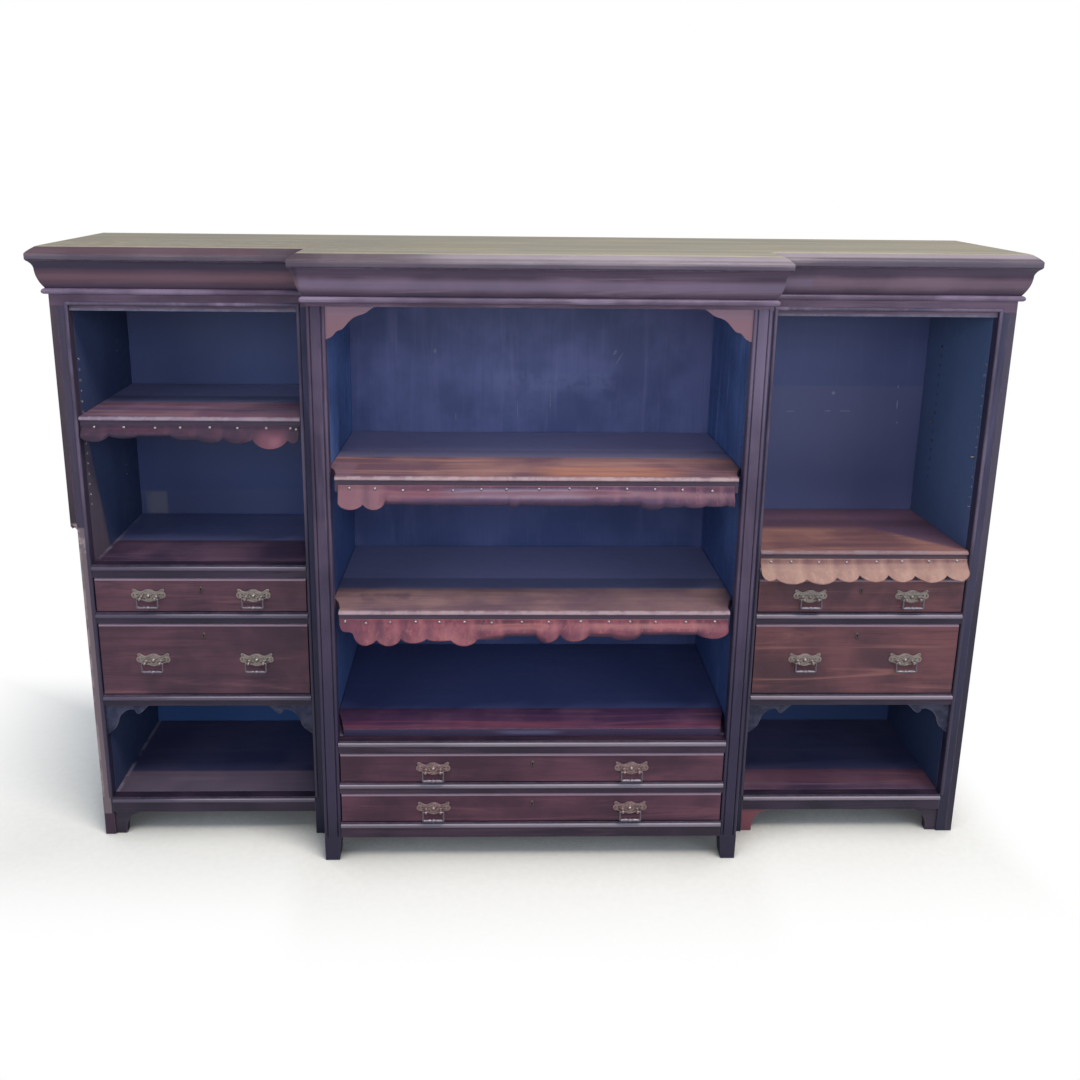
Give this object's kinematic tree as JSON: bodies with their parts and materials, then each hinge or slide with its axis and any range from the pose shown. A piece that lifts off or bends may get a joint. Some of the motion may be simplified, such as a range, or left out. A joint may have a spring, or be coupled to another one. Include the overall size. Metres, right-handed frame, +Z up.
{
  "type": "breakfront bookcase",
  "caption": "Open mahogany bookcase with a projecting centre, moulded cornice, drawers with bail handles, pegged shelves edged in scalloped leather and bracket feet.",
  "frame": {"origin": "middle of the footprint on the floor", "axes": "+X to the right as seen from the front, +Y to the back, +Z up"},
  "size_m": [2.264, 0.466, 1.505],
  "materials": {
    "mahogany": "old satin polish, worn at the edges",
    "dark_wood": "dull and darkened",
    "red_wood": "worn satin polish",
    "shelf_wood": "worn, dusty satin",
    "pale_wood": "raw, unpolished",
    "leather": "dry and faded",
    "brass": "tarnished, bright where handled"
  },
  "bodies": {
    "carcass": {"top_board": "mahogany", "cornice_moulding": "mahogany", "bead_moulding": "mahogany", "friezes": "mahogany", "left_end_panel": "mahogany", "right_end_panel": "mahogany", "wing_inner_sides": "dark_wood", "centre_sides": "dark_wood", "centre_stiles": "mahogany", "wing_stiles": "mahogany", "outer_edge_strips": "mahogany", "opening_beads": "mahogany", "back_boards": "dark_wood", "fixed_boards": "red_wood", "dust_boards": "pale_wood", "wing_rails": "mahogany", "centre_rails": "mahogany", "drawer_guides": "pale_wood", "corner_brackets": "red_wood", "foot_brackets": "red_wood", "shelf_pegs": "brass"},
    "left_shelf": {"left_shelf": "red_wood", "left_shelf_edging": "leather"},
    "right_shelf": {"right_shelf": "red_wood", "right_shelf_edging": "leather"},
    "upper_shelf": {"upper_shelf": "shelf_wood", "upper_shelf_edging": "leather"},
    "lower_shelf": {"lower_shelf": "shelf_wood", "lower_shelf_edging": "leather"},
    "loose_shelf": {"loose_shelf": "red_wood"},
    "left_upper_drawer": {"left_upper_front": "mahogany", "left_upper_box": "pale_wood", "left_upper_brass": "brass"},
    "left_upper_bail_a": {"left_upper_bail_a": "brass"},
    "left_upper_bail_b": {"left_upper_bail_b": "brass"},
    "left_lower_drawer": {"left_lower_front": "mahogany", "left_lower_box": "pale_wood", "left_lower_brass": "brass"},
    "left_lower_bail_a": {"left_lower_bail_a": "brass"},
    "left_lower_bail_b": {"left_lower_bail_b": "brass"},
    "right_upper_drawer": {"right_upper_front": "mahogany", "right_upper_box": "pale_wood", "right_upper_brass": "brass"},
    "right_upper_bail_a": {"right_upper_bail_a": "brass"},
    "right_upper_bail_b": {"right_upper_bail_b": "brass"},
    "right_lower_drawer": {"right_lower_front": "mahogany", "right_lower_box": "pale_wood", "right_lower_brass": "brass"},
    "right_lower_bail_a": {"right_lower_bail_a": "brass"},
    "right_lower_bail_b": {"right_lower_bail_b": "brass"},
    "centre_upper_drawer": {"centre_upper_front": "mahogany", "centre_upper_box": "pale_wood", "centre_upper_brass": "brass"},
    "centre_upper_bail_a": {"centre_upper_bail_a": "brass"},
    "centre_upper_bail_b": {"centre_upper_bail_b": "brass"},
    "centre_lower_drawer": {"centre_lower_front": "mahogany", "centre_lower_box": "pale_wood", "centre_lower_brass": "brass"},
    "centre_lower_bail_a": {"centre_lower_bail_a": "brass"},
    "centre_lower_bail_b": {"centre_lower_bail_b": "brass"}
  },
  "joints": [
    {"name": "left_shelf_lift", "type": "slide", "parent": "carcass", "child": "left_shelf", "axis": [0, 0, 1], "range_m": [0, 0.0762]},
    {"name": "right_shelf_lift", "type": "slide", "parent": "carcass", "child": "right_shelf", "axis": [0, 0, 1], "range_m": [0, 0.0762]},
    {"name": "upper_shelf_lift", "type": "slide", "parent": "carcass", "child": "upper_shelf", "axis": [0, 0, 1], "range_m": [0, 0.0762]},
    {"name": "lower_shelf_lift", "type": "slide", "parent": "carcass", "child": "lower_shelf", "axis": [0, 0, 1], "range_m": [0, 0.0762]},
    {"name": "loose_shelf_lift", "type": "slide", "parent": "carcass", "child": "loose_shelf", "axis": [0, 0, 1], "range_m": [0, 0.0762]},
    {"name": "left_upper_slide", "type": "slide", "parent": "carcass", "child": "left_upper_drawer", "axis": [0, -1, 0], "range_m": [0, 0.23]},
    {"name": "left_upper_bail_a_hinge", "type": "hinge", "parent": "left_upper_drawer", "child": "left_upper_bail_a", "pos_m": [-0.931, -0.117, 0.658], "axis": [-1, 0, 0], "range_deg": [0, 95]},
    {"name": "left_upper_bail_b_hinge", "type": "hinge", "parent": "left_upper_drawer", "child": "left_upper_bail_b", "pos_m": [-0.679, -0.117, 0.658], "axis": [-1, 0, 0], "range_deg": [0, 95]},
    {"name": "left_lower_slide", "type": "slide", "parent": "carcass", "child": "left_lower_drawer", "axis": [0, -1, 0], "range_m": [0, 0.23]},
    {"name": "left_lower_bail_a_hinge", "type": "hinge", "parent": "left_lower_drawer", "child": "left_lower_bail_a", "pos_m": [-0.931, -0.117, 0.487], "axis": [-1, 0, 0], "range_deg": [0, 95]},
    {"name": "left_lower_bail_b_hinge", "type": "hinge", "parent": "left_lower_drawer", "child": "left_lower_bail_b", "pos_m": [-0.679, -0.117, 0.487], "axis": [-1, 0, 0], "range_deg": [0, 95]},
    {"name": "right_upper_slide", "type": "slide", "parent": "carcass", "child": "right_upper_drawer", "axis": [0, -1, 0], "range_m": [0, 0.23]},
    {"name": "right_upper_bail_a_hinge", "type": "hinge", "parent": "right_upper_drawer", "child": "right_upper_bail_a", "pos_m": [0.679, -0.117, 0.658], "axis": [-1, 0, 0], "range_deg": [0, 95]},
    {"name": "right_upper_bail_b_hinge", "type": "hinge", "parent": "right_upper_drawer", "child": "right_upper_bail_b", "pos_m": [0.931, -0.117, 0.658], "axis": [-1, 0, 0], "range_deg": [0, 95]},
    {"name": "right_lower_slide", "type": "slide", "parent": "carcass", "child": "right_lower_drawer", "axis": [0, -1, 0], "range_m": [0, 0.23]},
    {"name": "right_lower_bail_a_hinge", "type": "hinge", "parent": "right_lower_drawer", "child": "right_lower_bail_a", "pos_m": [0.679, -0.117, 0.487], "axis": [-1, 0, 0], "range_deg": [0, 95]},
    {"name": "right_lower_bail_b_hinge", "type": "hinge", "parent": "right_lower_drawer", "child": "right_lower_bail_b", "pos_m": [0.931, -0.117, 0.487], "axis": [-1, 0, 0], "range_deg": [0, 95]},
    {"name": "centre_upper_slide", "type": "slide", "parent": "carcass", "child": "centre_upper_drawer", "axis": [0, -1, 0], "range_m": [0, 0.3]},
    {"name": "centre_upper_bail_a_hinge", "type": "hinge", "parent": "centre_upper_drawer", "child": "centre_upper_bail_a", "pos_m": [-0.241, -0.212, 0.252], "axis": [-1, 0, 0], "range_deg": [0, 95]},
    {"name": "centre_upper_bail_b_hinge", "type": "hinge", "parent": "centre_upper_drawer", "child": "centre_upper_bail_b", "pos_m": [0.241, -0.212, 0.252], "axis": [-1, 0, 0], "range_deg": [0, 95]},
    {"name": "centre_lower_slide", "type": "slide", "parent": "carcass", "child": "centre_lower_drawer", "axis": [0, -1, 0], "range_m": [0, 0.3]},
    {"name": "centre_lower_bail_a_hinge", "type": "hinge", "parent": "centre_lower_drawer", "child": "centre_lower_bail_a", "pos_m": [-0.241, -0.212, 0.142], "axis": [-1, 0, 0], "range_deg": [0, 95]},
    {"name": "centre_lower_bail_b_hinge", "type": "hinge", "parent": "centre_lower_drawer", "child": "centre_lower_bail_b", "pos_m": [0.241, -0.212, 0.142], "axis": [-1, 0, 0], "range_deg": [0, 95]}
  ]
}
